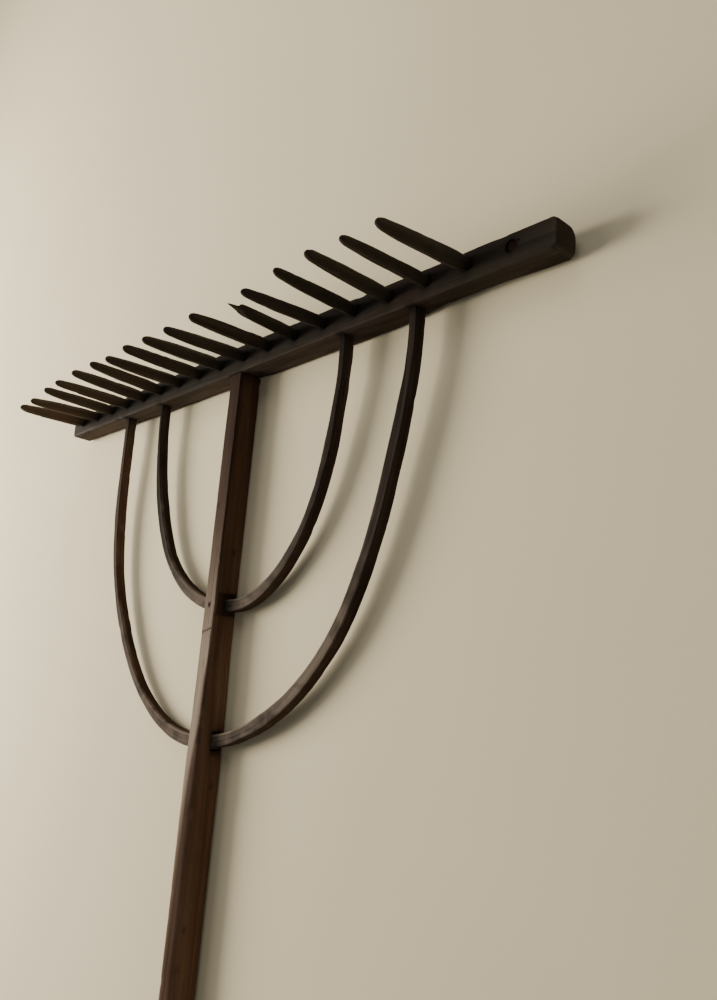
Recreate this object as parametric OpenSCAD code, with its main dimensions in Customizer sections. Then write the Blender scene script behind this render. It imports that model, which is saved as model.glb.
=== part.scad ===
// Bow-braced wooden hand rake, lying on its back with its teeth upward.
// X runs along the head, Y along the handle towards the head, Z is the way the teeth point.
// The head has eighteen holes: seventeen teeth are whole and the last one is broken off in its hole.

/* [Head] */
// height of the head at its middle, along the handle
head_h = 38; // [36:0.5:44]
// from the line of the teeth down to the underside of the head
head_under = 19.5; // [18:0.5:21]
// how much lower the upper edge lies at each end
end_drop = 5; // [0:0.5:7]
// depth of the head from its tooth face to its back
head_d = 30; // [28:0.5:34]
// how far the back of the head stands above the back of the handle
head_lift = 5; // [3:0.5:8]
// radius of the worn upper back edge
back_round = 9; // [3:0.5:11]
// radius of the other long edges
edge_round = 2; // [0.5:0.25:4]
// bevel across the four corners of the head's outline
end_bevel = 5; // [1:0.5:8]
// from the first tooth to the left end
left_margin = 40.5; // [30:0.5:60]
// from the last socket to the right end
right_margin = 50.5; // [30:0.5:60]

/* [Teeth] */
// distance from one tooth to the next
tooth_pitch = 54; // [52:0.5:58]
// how far a whole tooth stands out of the head
tooth_reach = 113; // [90:1:150]
// diameter of the holes the teeth are driven into
tooth_hole = 13.5; // [12:0.25:15.5]
// gap round a tooth in its hole
tooth_slack = 0.1; // [0.05:0.05:0.25]
// greatest diameter of a tooth, a little way out of the head
tooth_belly = 15.4; // [14.5:0.1:18]
// diameter of a tooth just before its rounded tip
tooth_end = 10; // [8:0.2:12]
// length of the rounded tip
tip_l = 9; // [5:0.5:14]
// how strongly the teeth lean their own way, 1 is as the old rake shows
lean_share = 1; // [0:0.1:1.1]
// how much length the splintered tooth has lost at its broken side
break_l = 27; // [20:1:34]
// how far the broken stub lies below the tooth face
stub_sink = 3; // [1:0.5:8]

/* [Handle] */
// length of the whole rake from the head's upper edge to the butt of the handle
overall_l = 1830; // [1400:10:2200]
// width of the handle along the head
handle_w = 24.5; // [22:0.5:27]
// depth of the handle, front to back
handle_d = 32; // [30:0.5:35]
// how far the handle sits from the middle of the head
handle_x = 4; // [1:0.5:5]
// small flat planed on each edge of the squared part
handle_bevel = 1.5; // [0.5:0.25:3]
// from the head's underside to where the squared part ends
squared_l = 372; // [345:1:400]
// length over which the square edges run out
blend_l = 48; // [30:1:60]
// width of the rounded grip
grip_w = 34; // [28:0.5:38]
// depth of the grip, front to back
grip_d = 34; // [30:0.5:38]
// how far the middle of the grip lies to the right of the squared part
grip_shift = 2.5; // [-2:0.5:4]
// corner radius of the grip
grip_round = 8; // [5:0.5:12]
// length of the rounding at the butt
butt_l = 12; // [6:1:20]
// width of the tenon that goes up through the head
tenon_w = 16; // [13:0.5:17]
// depth of the tenon
tenon_d = 17; // [14:0.5:18]
// gap round the tenon in the head
tenon_slack = 0.1; // [0.05:0.05:0.25]
// how far the tenon's end lies below the head's upper edge
tenon_sink = 0.6; // [0.2:0.1:3]
// thickness of the wedge at the tenon's end
wedge_t = 3.2; // [2:0.2:4]
// length of the wedge
wedge_l = 22; // [14:1:28]

/* [Bows] */
// depth of both bows, front to back
bow_d = 14; // [12:0.5:15]
// thickness of both bows where they cross the handle
bow_t = 15; // [13:0.5:16.5]
// thickness of the bows at their ends in the head
bow_end_t = 11.5; // [9:0.25:12.5]
// how far the ends of the bows go into the head
socket_l = 10; // [5:0.5:10.5]
// how full the left side of the inner bow is, 2 is an ellipse
inner_full_left = 2.35; // [1.9:0.05:2.5]
// how full its right side is
inner_full_right = 2.1; // [1.9:0.05:2.5]
// how full the left side of the outer bow is
outer_full_left = 1.95; // [1.9:0.05:2.5]
// how full its right side is
outer_full_right = 2.15; // [1.9:0.05:2.5]
// how far the bows' front stands behind the tooth face at the head
bow_setback = 7; // [6:0.5:9]
// wood left behind the bows in the handle's slots
back_cheek = 3.9; // [3:0.1:8]
// gap in front of and behind a bow in its slot and sockets
bow_slack = 0.15; // [0.05:0.05:0.3]
// open space above a bow in its slot
slot_over = 8; // [2:0.5:10]
// open space below a bow in its slot
slot_under = 3.5; // [1:0.5:6]
// from the handle's middle to the left leg of the outer bow
outer_left = 320; // [305:1:335]
// from the handle's middle to the right leg of the outer bow
outer_right = 319; // [305:1:335]
// how far to the left of the handle the outer bow hangs lowest
outer_lean = 32; // [0:1:40]
// from the head's underside to the lowest point of the outer bow
outer_drop = 476; // [450:1:500]
// straight length of the outer bow's left leg below the head
outer_leg_left = 110; // [2:1:120]
// straight length of its right leg
outer_leg_right = 2; // [2:1:90]
// from the handle's middle to the left leg of the inner bow
inner_left = 208; // [200:1:215]
// from the handle's middle to its right leg
inner_right = 213; // [200:1:215]
// from the head's underside to the lowest point of the inner bow
inner_drop = 311; // [290:1:320]
// how far to the right of the handle the inner bow hangs lowest
inner_lean = 18; // [0:1:30]
// straight length of the inner bow's left leg below the head
inner_leg_left = 2; // [2:1:60]
// straight length of its right leg
inner_leg_right = 9; // [2:1:60]

/* [Nails] */
// shank diameter of the nail through the handle and the inner bow
nail_d = 3; // [2:0.25:4]
// head diameter of that nail
nail_head_d = 4.8; // [4.5:0.2:7]
// how deep its head is punched in
nail_sink = 0.6; // [0.2:0.1:2]
// diameter of the small nail beside the broken stub
brad_d = 2; // [1.5:0.1:2.4]
// length of the small nail
brad_l = 18; // [10:1:24]

/* [Hidden] */
sockets = 18;
broken = 11;
// sideways lean of each tooth in degrees, left to right
lean_x = [2, -2.5, -0.5, -5.5, -2.5, 0, -4, -4.5, -5, -5.5, -2.5, 2, -2, 1, -0.5, -2, -5, 0];
// lean of each tooth up and away from the handle in degrees, left to right
lean_y = [-2, -2, 1, 2.5, 3, 2.5, 1, 2, 1.5, 1, 0, 1.5, -1, 0, 0.5, 0.5, -1.5, 0];
// how much each tooth is longer or shorter than the rest
trim = [-2, -1, 1, 2, 2, 1, 0, 1, 0, 0, -1, 0, -1, 0, 1, 0, -2, 0];
head_l = left_margin + (sockets - 1)*tooth_pitch + right_margin;
row_y = overall_l/2 - (head_h - head_under);
top_y = row_y + head_h - head_under;
under_y = row_y - head_under;
front_z = head_lift + head_d;
drop_angle = atan(end_drop/(head_l/2));
bow_back_z = front_z - bow_setback - bow_d;
grip_y = under_y - squared_l - blend_l;
far = 4*head_h;
$fn = 48;

dark_wood = [0.21, 0.18, 0.155];
handle_wood = [0.36, 0.27, 0.20];
bow_wood = [0.29, 0.24, 0.20];
stub_wood = [0.33, 0.21, 0.14];
iron = [0.12, 0.10, 0.09];

// x of a socket counted from the left
function socket_x(i) = -head_l/2 + left_margin + i*tooth_pitch;

// one quarter of a bow's edge, from the leg down to the lowest point
function quarter(a, b, n, side, cx, cy) =
  [for (i = [0:28]) let (u = 90*i/28) [cx + side*a*pow(cos(u), 2/n), cy - b*pow(sin(u), 2/n)]];

// the points of a list in the opposite order
function turned(p) = [for (i = [len(p) - 1:-1:0]) p[i]];

// a section with rounded corners, y across and z up
module soft_rect(y0, y1, z0, z1, low_r, back_r, front_r) {
  difference() {
    translate([y0, z0]) square([y1 - y0, z1 - z0]);
    corner_cut(y0, z0, 1, 1, low_r);
    corner_cut(y0, z1, 1, -1, low_r);
    corner_cut(y1, z0, -1, 1, back_r);
    corner_cut(y1, z1, -1, -1, front_r);
  }
}

// the waste outside a rounded corner
module corner_cut(y, z, sy, sz, r) {
  translate([y, z]) difference() {
    translate([min(0, sy*r) - (sy > 0 ? 1 : 0), min(0, sz*r) - (sz > 0 ? 1 : 0)]) square(r + 1);
    translate([sy*r, sz*r]) circle(r);
  }
}

// a bar along X with the given section
module along_x(x0, x1) {
  translate([x0, 0, 0]) rotate([90, 0, 90]) linear_extrude(x1 - x0) children();
}

// a bar from y0 down to y1 along the handle
module down_y(y0, y1) {
  translate([0, y0, 0]) rotate([90, 0, 0]) linear_extrude(y0 - y1) children();
}

// places a part on the axis of one tooth, with z = 0 at the tooth face
module tooth_place(i) {
  translate([socket_x(i), row_y, front_z])
    rotate([-lean_y[i]*lean_share, lean_x[i]*lean_share, 0]) children();
}

// one half of the head, its upper edge falling towards the end, cut square at the middle
module head_half(side) {
  intersection() {
    translate([0, top_y, 0]) rotate([0, 0, -side*drop_angle]) translate([0, -top_y, 0])
      along_x(-head_l, head_l)
        soft_rect(top_y - far, top_y, head_lift, front_z, 1, back_round, edge_round);
    translate([side > 0 ? 0 : -head_l, top_y - 2*far, -far]) cube([head_l, 3*far, 3*far]);
  }
}

// the outline of the head seen from its tooth face
module head_outline() {
  e = head_l/2;
  b = end_bevel;
  polygon([[-e, under_y + b], [-e + b, under_y], [e - b, under_y], [e, under_y + b],
    [e, top_y - end_drop - b], [e - b, top_y - end_drop + 0.5], [e - b, top_y + 1],
    [-e + b, top_y + 1], [-e + b, top_y - end_drop + 0.5], [-e, top_y - end_drop - b]]);
}

module head_bar() color(dark_wood) difference() {
  intersection() {
    union() {
      head_half(1);
      head_half(-1);
    }
    along_x(-head_l, head_l)
      soft_rect(under_y, under_y + far, head_lift - 1, front_z + 1, edge_round + 1, 1, 1);
    linear_extrude(far) head_outline();
  }
  for (i = [0:sockets - 1])
    tooth_place(i) cylinder(d = tooth_hole, h = 4*head_d, center = true);
  translate([handle_x - 1 - tenon_w/2 - tenon_slack, under_y - 1, tenon_z() - tenon_slack])
    cube([tenon_w + 2*tenon_slack, head_h + 2, tenon_d + 2*tenon_slack]);
  outer_place() leg_sockets(outer_left, outer_right);
  inner_place() leg_sockets(inner_left, inner_right);
  brad_place() cylinder(d = brad_d + 0.1, h = 2*brad_l, center = true);
}

function tenon_z() = head_lift + (head_d - tenon_d)/2;

// the section of the handle where its edges are square
module squared_section() {
  w = handle_w/2;
  b = handle_bevel;
  translate([handle_x, 0]) polygon([[-w + b, 0], [w - b, 0], [w, b], [w, handle_d - b],
    [w - b, handle_d], [-w + b, handle_d], [-w, handle_d - b], [-w, b]]);
}

// the rounded section of the grip, drawn in by a margin
module grip_section(inset) {
  r = grip_round;
  w = grip_w/2 - r;
  d = grip_d/2 - r;
  s = r - inset;
  translate([handle_x + grip_shift, grip_d/2]) {
    square([2*(w + s), 2*d], center = true);
    square([2*w, 2*(d + s)], center = true);
    for (x = [-w, w], z = [-d, d]) translate([x, z]) circle(s, $fn = 32);
  }
}

module handle() color(handle_wood) difference() {
  union() {
    translate([handle_x - 1 - tenon_w/2, under_y - 5, tenon_z()])
      cube([tenon_w, head_h - tenon_sink + 5, tenon_d]);
    down_y(under_y, under_y - squared_l) squared_section();
    hull() {
      down_y(under_y - squared_l, under_y - squared_l - 0.5) squared_section();
      down_y(grip_y + 0.5, grip_y) grip_section(0);
    }
    down_y(grip_y, -overall_l/2 + butt_l) grip_section(0);
    hull() {
      down_y(-overall_l/2 + butt_l + 0.5, -overall_l/2 + butt_l) grip_section(0);
      down_y(-overall_l/2 + butt_l*0.35, -overall_l/2 + butt_l*0.3) grip_section(1.8);
      down_y(-overall_l/2 + 0.1, -overall_l/2) grip_section(5);
    }
  }
  outer_place() slot(outer_drop);
  inner_place() slot(inner_drop);
  wedge_place() wedge_shape(0.05);
  nail_place() nail_hole();
}

// a long slot through the handle, in the frame of its bow
module slot(drop) {
  translate([-grip_w, -drop - slot_under, -bow_slack])
    cube([2*grip_w, slot_under + bow_t + slot_over, bow_d + 2*bow_slack]);
}

// frame of the outer bow: x from the handle's middle, y from the head's underside, z from its back
module outer_place() {
  translate([handle_x, under_y, bow_back_z])
    rotate([asin((bow_back_z - back_cheek - bow_slack)/(outer_drop - bow_t/2)), 0, 0]) children();
}

// frame of the inner bow
module inner_place() {
  translate([handle_x, under_y, bow_back_z])
    rotate([asin((bow_back_z - back_cheek - bow_slack)/(inner_drop - bow_t/2)), 0, 0]) children();
}

// the sockets for the two ends of a bow
module leg_sockets(left, right) {
  s = bow_slack;
  for (x = [-left - s, right - bow_end_t - s])
    translate([x, -6, -s]) cube([bow_end_t + 2*s, 6 + socket_l + s, bow_d + 2*s]);
}

// a bow seen from the front, its legs standing in the head
module bow_outline(left, right, lean, drop, leg_left, leg_right, full_left, full_right) {
  low_l = drop - leg_left;
  low_r = drop - leg_right;
  polygon(concat(
    [[-left, socket_l]],
    quarter(left - lean, low_l, full_left, -1, -lean, -leg_left),
    turned(quarter(right + lean, low_r, full_right, 1, -lean, -leg_right)),
    [[right, socket_l], [right - bow_end_t, socket_l]],
    quarter(right + lean - bow_end_t, low_r - bow_t, full_right, 1, -lean, -leg_right),
    turned(quarter(left - lean - bow_end_t, low_l - bow_t, full_left, -1, -lean, -leg_left)),
    [[-left + bow_end_t, socket_l]]));
}

module outer_bow() color(bow_wood) outer_place() linear_extrude(bow_d)
  bow_outline(outer_left, outer_right, outer_lean, outer_drop, outer_leg_left, outer_leg_right,
    outer_full_left, outer_full_right);

module inner_bow() color(bow_wood) difference() {
  inner_place() linear_extrude(bow_d)
    bow_outline(inner_left, inner_right, -inner_lean, inner_drop, inner_leg_left, inner_leg_right,
      inner_full_left, inner_full_right);
  nail_place() nail_hole();
}

// half the outline of a tooth, from its hidden end to its tip
function tooth_profile(l) = let (r = (tooth_hole - 2*tooth_slack)/2, m = tooth_belly/2, e = tooth_end/2)
  [[0, -head_d + 0.5], [r - 1, -head_d + 0.5], [r, -head_d + 1.5], [r, 1], [m - 0.3, 12], [m, 26],
   [m - 0.25*(m - e), 0.5*l], [m - 0.55*(m - e), 0.74*l], [e, l - tip_l], [0.86*e, l - 0.55*tip_l],
   [0.6*e, l - 0.24*tip_l], [0.3*e, l], [0, l]];

// a whole tooth standing in its own hole
module whole_tooth(i) color(dark_wood)
  tooth_place(i) rotate_extrude() polygon(tooth_profile(tooth_reach + trim[i]));

module tooth_01() whole_tooth(0);
module tooth_02() whole_tooth(1);
module tooth_03() whole_tooth(2);
module tooth_04() whole_tooth(3);
module tooth_05() whole_tooth(4);
module tooth_06() whole_tooth(5);
module tooth_07() whole_tooth(6);
module tooth_08() whole_tooth(7);
module tooth_09() whole_tooth(8);
module tooth_10() whole_tooth(9);
module tooth_11() whole_tooth(10);

// the splintered tooth, broken off on a slant
module tooth_12() color(dark_wood) tooth_place(broken) difference() {
  rotate_extrude() polygon(tooth_profile(tooth_reach - 4));
  translate([0, 0, tooth_reach - break_l]) rotate([-58, 0, 20])
    translate([-30, -30, 0]) cube([60, 60, 60]);
}

module tooth_13() whole_tooth(12);
module tooth_14() whole_tooth(13);
module tooth_15() whole_tooth(14);
module tooth_16() whole_tooth(15);
module tooth_17() whole_tooth(16);

// what is left of the last tooth in its hole
module tooth_stub() color(stub_wood) tooth_place(sockets - 1) difference() {
  translate([0, 0, 0.5 - head_d]) cylinder(d = tooth_hole - 2*tooth_slack, h = head_d);
  translate([0, 0, -stub_sink]) rotate([9, -7, 0]) translate([-20, -20, 0]) cube([40, 40, 40]);
}

// the wedge's frame, its thick end at the end of the tenon
module wedge_place() {
  translate([handle_x - 1, top_y - tenon_sink, tenon_z() + tenon_d/2]) children();
}

// a wedge lying across the tenon, thin end down, with its ends run past by a margin
module wedge_shape(gap) {
  t = wedge_t/2 + gap;
  over = 20*gap;
  translate([-tenon_w/2 - over, 0, 0]) rotate([90, 0, 90]) linear_extrude(tenon_w + 2*over)
    polygon([[over, -t], [over, t], [-wedge_l - gap, 0.5 + gap], [-wedge_l - gap, -0.5 - gap]]);
}

module tenon_wedge() color(bow_wood) wedge_place() wedge_shape(0);

// the nail's frame on the front of the handle, over the inner bow
module nail_place() {
  translate([handle_x - 1, under_y - inner_drop + bow_t/2, handle_d]) children();
}

module nail_hole() {
  translate([0, 0, -handle_d + back_cheek + 2]) cylinder(d = nail_d + 0.1, h = handle_d, $fn = 32);
  translate([0, 0, -nail_sink - 1.3]) cylinder(d = nail_head_d + 0.1, h = 10, $fn = 32);
}

module bow_nail() color(iron) nail_place() {
  translate([0, 0, -handle_d + back_cheek + 2.2])
    cylinder(d = nail_d, h = handle_d - back_cheek - 3.2 - nail_sink, $fn = 32);
  translate([0, 0, -nail_sink - 1.2]) cylinder(d = nail_head_d, h = 1.2, $fn = 32);
}

// the small nail's frame beside the last socket
module brad_place() {
  translate([socket_x(sockets - 1) + tooth_hole/2 + 1.6, row_y + 3.5, front_z]) children();
}

module stub_nail() color(iron)
  brad_place() translate([0, 0, -brad_l + 0.2]) cylinder(d = brad_d, h = brad_l, $fn = 24);

head_bar();
handle();
inner_bow();
outer_bow();
tooth_01();
tooth_02();
tooth_03();
tooth_04();
tooth_05();
tooth_06();
tooth_07();
tooth_08();
tooth_09();
tooth_10();
tooth_11();
tooth_12();
tooth_13();
tooth_14();
tooth_15();
tooth_16();
tooth_17();
tooth_stub();
tenon_wedge();
bow_nail();
stub_nail();
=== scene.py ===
import math

import bpy
import numpy as np
from mathutils import Matrix, Vector
from mathutils.kdtree import KDTree


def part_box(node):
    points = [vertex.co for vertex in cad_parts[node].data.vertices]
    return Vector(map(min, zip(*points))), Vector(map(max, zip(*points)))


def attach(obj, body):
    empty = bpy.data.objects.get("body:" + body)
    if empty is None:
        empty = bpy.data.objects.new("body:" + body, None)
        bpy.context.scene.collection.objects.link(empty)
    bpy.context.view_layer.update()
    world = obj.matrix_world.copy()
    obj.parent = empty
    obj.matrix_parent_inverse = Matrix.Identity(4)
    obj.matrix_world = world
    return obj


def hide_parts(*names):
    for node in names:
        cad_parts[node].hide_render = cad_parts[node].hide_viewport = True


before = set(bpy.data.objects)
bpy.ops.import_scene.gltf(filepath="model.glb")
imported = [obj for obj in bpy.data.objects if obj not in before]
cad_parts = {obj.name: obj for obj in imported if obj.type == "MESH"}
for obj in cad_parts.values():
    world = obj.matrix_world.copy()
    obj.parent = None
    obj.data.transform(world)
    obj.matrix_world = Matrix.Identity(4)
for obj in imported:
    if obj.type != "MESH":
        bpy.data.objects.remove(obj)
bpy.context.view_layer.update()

MM = 0.001

# Sizes that the solids share with the looks, in metres and degrees.
HEAD_LOW, HEAD_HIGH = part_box("head_bar")
UNDER_Y = HEAD_LOW.y
TOP_Y = HEAD_HIGH.y
HEAD_HALF = HEAD_HIGH.x
HEAD_BACK = HEAD_LOW.z
HEAD_FRONT = HEAD_HIGH.z
END_DROP = 5*MM
END_BEVEL = 5*MM
TOOTH_ROW = UNDER_Y + 19.5*MM
TOOTH_PITCH = 54*MM
FIRST_TOOTH = -HEAD_HALF + 40.5*MM
TOOTH_REACH = 113*MM
HOLE_R = 6.75*MM
TOOTH_R = 6.65*MM
TOOTH_BACK = -29.5*MM
SOCKETS = 18
SPLINTERED = 11
STUB = 17
TOOTH_SIDES = 56
# each tooth's own leans in degrees, its girth as a share and its length in mm more than the rest
LEAN_X = (2, -2.5, -0.5, -5.5, -2.5, 0, -4, -4.5, -5, -5.5, -2.5, 2, -2, 1, -0.5, -2, -5, 0)
LEAN_Y = (-1.6, -0.9, 1, 2.5, 3.7, 2.5, 1, 2, 1.4, 0.3, 0.8, 1.5, -1.6, 0.5, 1.2, -0.3, -1.5, 0)
GIRTH = (1.28, 1.08, 1.12, 1.11, 1.18, 1.19, 1.2, 1.19, 1.21, 1.1, 1.2, 1.04, 1.07, 1.06, 1.2,
         1.00, 1.19)
LONGER = (-2, -1, 1, 2, 2, 1, 0, 1, 0, 0, -1, -13.5, -1, 0, 1, 0, -0.2)
HANDLE_X = 4*MM
BUTT_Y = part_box("handle")[0].y
TENON_X = (-5*MM, 11*MM)
TENON_Z = (11.5*MM, 28.5*MM)
TENON_END = TOP_Y - 0.6*MM
NAIL_SIDES = 24
SAW_MARK = UNDER_Y - 335*MM
SAW_SLOPE = 0.29
# dents on the handle's right edge: mm down from the head, how deep and how wide
DENTS = ((433, 1.5, 7), (446, 1, 4), (546, 1.2, 6), (250, 1, 5), (90, 0.8, 6))
# dark knots and pits, in mm: places, and for the handle their widths
HANDLE_KNOTS = ((22.5, 163, 30, 3.2), (22, 205, 27, 2.2), (16, 640, 12, 2.6),
                (21, 360, 12, 2.4), (-3, 700, 31, 2))
BOW_KNOTS = ((-84, 428), (150, 500), (-250, 600))
BOW_BACK = 14*MM
BOW_DEEP = 14*MM
BOW_THICK = 15*MM
BOW_END_THICK = 11.5*MM
BACK_CHEEK = 4.05*MM
BOW_ORIGIN = np.array([HANDLE_X, UNDER_Y, BOW_BACK])
BOW_STEP = 2.6*MM
SOCKET_GAP = 0.25*MM
HEAD_SECTIONS = 440
HANDLE_SECTIONS = 560
OUTER = {"left": 320*MM, "right": 319*MM, "lean": 32*MM, "drop": 476*MM,
         "legs": (110*MM, 2*MM), "full": (1.95, 2.15),
         # how pale its front is, from left to right: bleaching and painted sheen
         "bleach_and_sheen": ((-0.32, 0.8), (-0.1, 1), (0.06, 0.6), (0.12, 0.75), (0.17, 1.3),
                      (0.25, 1), (0.32, 0.5)),
         # how far the wood strays from its curve, outer and inner side, from each foot down
         "out_left": ((0, -1.6), (105, -1.6), (165, 0), (265, 0.8), (400, -1), (480, -1), (560, 0)),
         "in_left": ((0, -1), (165, -1), (205, 0.8), (250, 2.6), (295, 2.4), (330, 0.2),
                     (385, 1), (440, 2.5), (540, 1), (570, 0)),
         "out_right": ((0, 6.6), (25, 6.5), (65, 5.6), (105, 2.7), (165, -0.4), (205, 0),
                       (265, 2.1), (305, 3.9), (335, 5.1), (385, 3.8), (425, 3.3), (485, 0.5),
                       (545, -0.9), (570, 0)),
         "in_right": ((0, 7), (45, 7), (65, 5.6), (105, 1.4), (145, -1.6), (185, -2.1), (225, -1),
                      (285, 1.1), (325, 4.1), (365, 3.9), (405, 3.6), (465, 1.4), (505, -0.8),
                      (545, 0))}
INNER = {"left": 208*MM, "right": 213*MM, "lean": -18*MM, "drop": 311*MM,
         "legs": (2*MM, 9*MM), "full": (2.35, 2.1),
         "bleach_and_sheen": ((-0.21, 0.45), (-0.15, 0.6), (-0.06, 1), (0.04, 0.85), (0.17, 0.7),
                      (0.21, 0.5)),
         "out_left": ((0, -1.2), (345, -1.2), (390, 0)),
         "in_left": ((0, 2.6), (45, 2.6), (85, 1), (125, 0), (165, -2), (205, -0.2), (245, 1.8),
                     (285, 0.7), (325, -1), (370, 0)),
         "out_right": ((0, 0.6), (45, 0), (85, -2), (125, -0.5), (225, 0), (265, -1.1),
                       (295, -1.8), (345, -0.3), (380, 0)),
         "in_right": ((0, 2.4), (45, 2.4), (85, 0.4), (125, -0.5), (185, 1.4), (235, 1.4),
                      (265, -0.4), (340, 0))}


# --- shaping

def ripple(points, size, seed=0):
    """Smooth unevenness from -1 to 1, in waves of about this size along each axis."""
    q = np.asarray(points, float)/np.asarray(size, float) + seed*17.31
    cell = np.floor(q).astype(np.int64)
    part = q - cell
    part = part*part*(3 - 2*part)
    total = np.zeros(len(q))
    for corner in range(8):
        step = np.array([corner & 1, corner >> 1 & 1, corner >> 2 & 1])
        share = np.prod(np.where(step, part, 1 - part), axis=1)
        c = cell + step
        h = (c[:, 0]*73856093) ^ (c[:, 1]*19349663) ^ (c[:, 2]*83492791) ^ (seed*97531)
        h &= 0x7fffffff
        h = ((h ^ (h >> 13))*1274126177) & 0x7fffffff
        h = ((h ^ (h >> 15))*668265263) & 0x7fffffff
        total += share*(h/0x3fffffff - 1)
    return total


def bump_at(x, middle, width):
    """1 at the middle, falling away on both sides."""
    return np.exp(-((np.asarray(x) - middle)/width)**2)


def run(x, *pairs):
    """A size that changes along a piece, given as (place, size) pairs."""
    return np.interp(x, [p[0] for p in pairs], [p[1] for p in pairs])


def rise(value, start, width):
    """0 up to start, then growing to 1 over this width."""
    return np.clip((value - start)/width, 0, 1)


def fall(value, end, width):
    """1 until this width before the end, then sinking to 0."""
    return rise(end, value, width)


def fade(far, width):
    """1 on the spot, dying away with distance from it."""
    return np.exp(-np.maximum(0, far)/width)


def uneven(points, *waves):
    """Ripples in metres, summed from (height in mm, wave length, seed)."""
    if points.ndim == 1:
        points = points[:, None]*[1, 0, 0]
    return sum(high*MM*ripple(points, wave, seed) for high, wave, seed in waves)


def worn_away(points, edge, wave, start, depth, seed):
    """How much is rubbed or chipped off near a corner, up to half the depth in mm."""
    return edge.reshape(-1)*np.maximum(0, ripple(points, wave, seed) - start)*depth*MM


def circle(sides, radius=1, z=0):
    """Points round the z axis, where radius may be one size or one for each point."""
    t = np.linspace(0, 2*math.pi, sides, endpoint=False)
    return np.stack([radius*np.cos(t), radius*np.sin(t), 0*t + z], 1)


def stations(places, sections):
    """The points of flat sections, each behind the place where its section stands."""
    ahead = np.broadcast_to(places[:, None, None], (*sections.shape[:2], 1))
    return np.concatenate([ahead, sections], -1)


CORNERS = ((1, 1, 0), (-1, 1, 90), (-1, -1, 180), (1, -1, 270))


def soft_box(u0, u1, v0, v1, radii, arc=6, flat=7):
    """Rounded boxes: points, outward directions and nearness to a corner, one row a station."""
    n = len(radii)
    u0, u1, v0, v1 = (np.broadcast_to(np.asarray(a, float), (n,))[:, None]
                      for a in (u0, u1, v0, v1))
    arcs, outs = [], []
    for k, (su, sv, start) in enumerate(CORNERS):
        r = radii[:, k:k + 1]
        cu = u1 - r if su > 0 else u0 + r
        cv = v1 - r if sv > 0 else v0 + r
        t = np.radians(start + 90*np.linspace(0, 1, arc))[None]
        arcs.append(np.stack([cu + r*np.cos(t), cv + r*np.sin(t)], -1))
        outs.append(np.stack([np.cos(t) + 0*r, np.sin(t) + 0*r], -1))
    points, out, edge = [], [], []
    s = np.linspace(0, 1, flat + 2)[1:-1][None, :, None]
    for k in range(4):
        a, b = arcs[k][:, -1:], arcs[(k + 1) % 4][:, :1]
        points += [arcs[k], a + (b - a)*s]
        out += [outs[k], np.repeat(outs[k][:, -1:], flat, 1)]
        gap = np.linalg.norm(b - a, axis=-1)
        far = np.minimum(s[..., 0], 1 - s[..., 0])*gap
        edge += [np.ones((n, arc)), np.exp(-far/(2.2*MM))]
    return np.concatenate(points, 1), np.concatenate(out, 1), np.concatenate(edge, 1)


def closing(ring, shares=(0.93, 0.78, 0.6, 0.42, 0.24, 0.1)):
    """Smaller copies of an end ring, for the end face."""
    middle = ring.mean(0)
    return [middle + (ring - middle)*k for k in shares]


def skin(name, rings, soft=40):
    """A closed mesh over a list of rings."""
    rings = np.array(closing(rings[0])[::-1] + list(rings) + closing(rings[-1]))
    n, m = rings.shape[:2]
    points = np.concatenate([rings.reshape(-1, 3), rings[:1].mean(1), rings[-1:].mean(1)])
    i, j = np.meshgrid(np.arange(n - 1)*m, np.arange(m), indexing="ij")
    k = (j + 1) % m
    quads = np.stack([i + j, i + k, i + m + k, i + m + j], -1).reshape(-1, 4)
    faces = quads.tolist()
    for a in range(m):
        b = (a + 1) % m
        faces.append([n*m, b, a])
        faces.append([n*m + 1, (n - 1)*m + a, (n - 1)*m + b])
    p = points[quads]
    if (p[:, 0]*(np.cross(p[:, 1], p[:, 2]) + np.cross(p[:, 2], p[:, 3]))).sum() < 0:
        faces = [f[::-1] for f in faces]
    return as_piece(name, points, faces, soft)


def as_piece(name, points, faces, soft=40):
    """A piece from its points and faces."""
    mesh = bpy.data.meshes.new(name)
    mesh.from_pydata(np.asarray(points).tolist(), [], faces)
    mesh.update()
    piece = bpy.data.objects.new(name, mesh)
    bpy.context.scene.collection.objects.link(piece)
    smooth(piece, soft)
    return piece


def smooth(piece, angle):
    """Soft shading, but for corners sharper than this."""
    mesh = piece.data
    mesh.polygons.foreach_set("use_smooth", [True]*len(mesh.polygons))
    mesh.set_sharp_from_angle(angle=math.radians(angle))


def corners_of(piece):
    co = np.zeros(len(piece.data.vertices)*3)
    piece.data.vertices.foreach_get("co", co)
    return co.reshape(-1, 3)


def carve(piece, cutters):
    """Cuts the cutters out of a piece, and throws them away."""
    for cutter in cutters:
        cut = piece.modifiers.new("cut", "BOOLEAN")
        cut.solver = "MANIFOLD"
        cut.object = cutter
    seen = piece.evaluated_get(bpy.context.evaluated_depsgraph_get())
    mesh = bpy.data.meshes.new_from_object(seen)
    piece.modifiers.clear()
    mesh.name = piece.data.name
    mesh.materials.clear()
    piece.data = mesh
    for cutter in cutters:
        bpy.data.objects.remove(cutter)
    smooth(piece, 35)


def note(piece, name, values):
    """Keeps a value or a vector for each point of a piece, for its material."""
    kind, field = ("FLOAT", "value") if values.ndim == 1 else ("FLOAT_VECTOR", "vector")
    kept = piece.data.attributes.new(name, kind, "POINT")
    kept.data.foreach_set(field, values.ravel())


def nearest(points, known, values):
    """For each point, the value that belongs to the nearest known point."""
    tree = KDTree(len(known))
    for i, p in enumerate(known):
        tree.insert(p, i)
    tree.balance()
    return np.asarray(values)[[tree.find(p)[1] for p in points]]


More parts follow.
